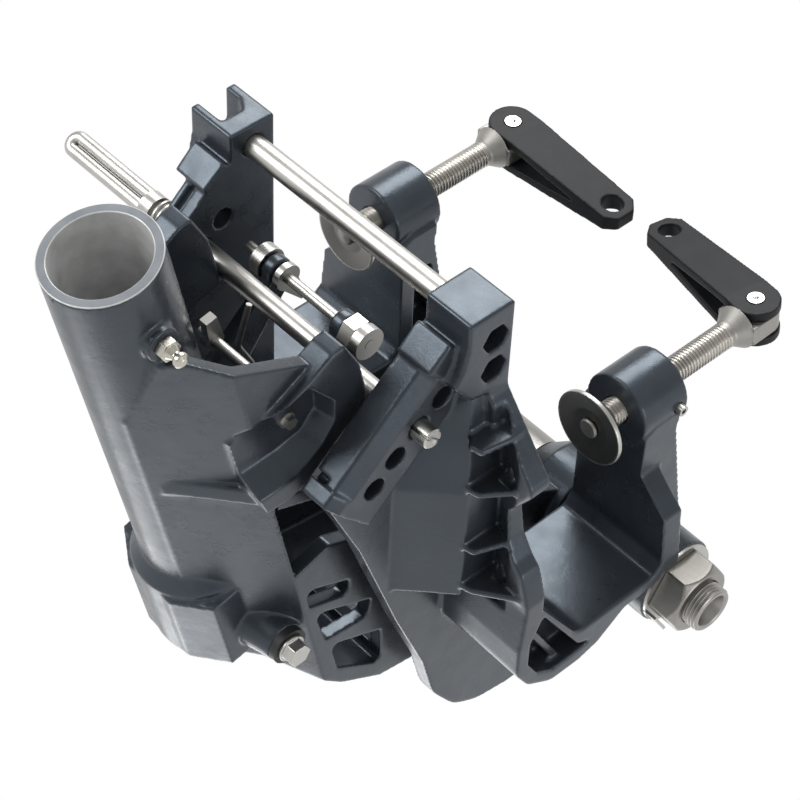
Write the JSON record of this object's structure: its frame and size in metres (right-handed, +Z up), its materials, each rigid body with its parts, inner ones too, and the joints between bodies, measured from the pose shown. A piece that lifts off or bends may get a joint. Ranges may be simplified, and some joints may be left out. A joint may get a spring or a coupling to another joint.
{
  "type": "outboard swivel bracket",
  "caption": "Outboard motor transom clamp and swivel bracket with tilt tube, clamp screws and tilt pin.",
  "frame": {"origin": "on the tilt tube's axis, midway between the two clamp brackets", "axes": "+X to starboard along the tilt tube, +Y forward into the boat, +Z up in use"},
  "size_m": [0.2694, 0.3305, 0.3254],
  "materials": {
    "casting_paint": "semi-gloss dark blue-grey metallic paint",
    "stainless": "turned stainless steel",
    "plain_steel": "dull plated steel",
    "handle_black": "semi-gloss black",
    "bush_plastic": "matt black",
    "nipple_brass": "plated steel"
  },
  "bodies": {
    "clamp_brackets": {"clamp_bracket_port": "casting_paint", "clamp_bracket_starboard": "casting_paint", "tilt_tube": "plain_steel", "tilt_tube_nuts": "plain_steel", "tilt_tube_washers": "stainless", "tilt_tube_sleeve": "plain_steel", "tie_rod": "stainless", "boss_set_screws": "stainless"},
    "swivel": {"swivel_bracket": "casting_paint", "tilt_bush_port": "bush_plastic", "tilt_bush_starboard": "bush_plastic", "steering_grease_nipple": "nipple_brass", "side_bolt": "stainless", "side_bolt_bush": "bush_plastic", "wing_screws": "stainless", "lock_lever": "stainless", "lock_lever_shaft": "stainless", "lock_spring": "plain_steel"},
    "lock_shaft": {"reverse_lock_shaft": "stainless", "lock_shaft_washers": "stainless", "lock_shaft_ring": "stainless", "lock_shaft_nut": "stainless", "lock_shaft_collar": "stainless"},
    "tilt_pin": {"tilt_pin": "stainless", "tilt_pin_handle": "stainless", "tilt_pin_clip": "stainless"},
    "pin_toggle": {"tilt_pin_toggle": "stainless"},
    "pad_port": {"clamp_pad_port": "stainless"},
    "screw_port": {"clamp_screw_port": "stainless"},
    "handle_port": {"clamp_handle_port": "handle_black", "handle_pin_port": "stainless"},
    "pad_starboard": {"clamp_pad_starboard": "stainless"},
    "screw_starboard": {"clamp_screw_starboard": "stainless"},
    "handle_starboard": {"clamp_handle_starboard": "handle_black", "handle_pin_starboard": "stainless"}
  },
  "joints": [
    {"name": "tilt", "type": "hinge", "parent": "clamp_brackets", "child": "swivel", "pos_m": [0, 0, 0], "axis": [-1, 0, 0], "range_deg": [0, 65]},
    {"name": "lock_shaft_turn", "type": "hinge", "parent": "swivel", "child": "lock_shaft", "pos_m": [0, -0.112, -0.1604], "axis": [1, 0, 0], "range_deg": [0, 30]},
    {"name": "tilt_pin_pull", "type": "slide", "parent": "clamp_brackets", "child": "tilt_pin", "axis": [1, 0, 0], "range_m": [0, 0.16]},
    {"name": "toggle_turn", "type": "hinge", "parent": "tilt_pin", "child": "pin_toggle", "pos_m": [-0.076, -0.13079, -0.16621], "axis": [0, -0.6428, 0.766], "range_deg": [0, 90]},
    {"name": "clamp_port", "type": "slide", "parent": "clamp_brackets", "child": "pad_port", "axis": [0, 1, 0], "range_m": [-0.038, 0.0075]},
    {"name": "screw_turn_port", "type": "hinge", "parent": "pad_port", "child": "screw_port", "pos_m": [-0.075, 0, -0.1001], "axis": [0, 1, 0], "range_deg": [-7900, 1600]},
    {"name": "handle_fold_port", "type": "hinge", "parent": "screw_port", "child": "handle_port", "pos_m": [-0.075, 0.0655, -0.1001], "axis": [-0.1219, 0, 0.9925], "range_deg": [-12, 168]},
    {"name": "clamp_starboard", "type": "slide", "parent": "clamp_brackets", "child": "pad_starboard", "axis": [0, 1, 0], "range_m": [-0.038, 0.0075]},
    {"name": "screw_turn_starboard", "type": "hinge", "parent": "pad_starboard", "child": "screw_starboard", "pos_m": [0.075, 0, -0.1001], "axis": [0, 1, 0], "range_deg": [-7900, 1600]},
    {"name": "handle_fold_starboard", "type": "hinge", "parent": "screw_starboard", "child": "handle_starboard", "pos_m": [0.075, 0.0655, -0.1001], "axis": [0, 0, -1], "range_deg": [0, 180]}
  ],
  "couplings": [
    {"joint": "screw_turn_port", "follows": "clamp_port", "rad_per_m": 3590.4},
    {"joint": "screw_turn_starboard", "follows": "clamp_starboard", "rad_per_m": 3590.4}
  ]
}
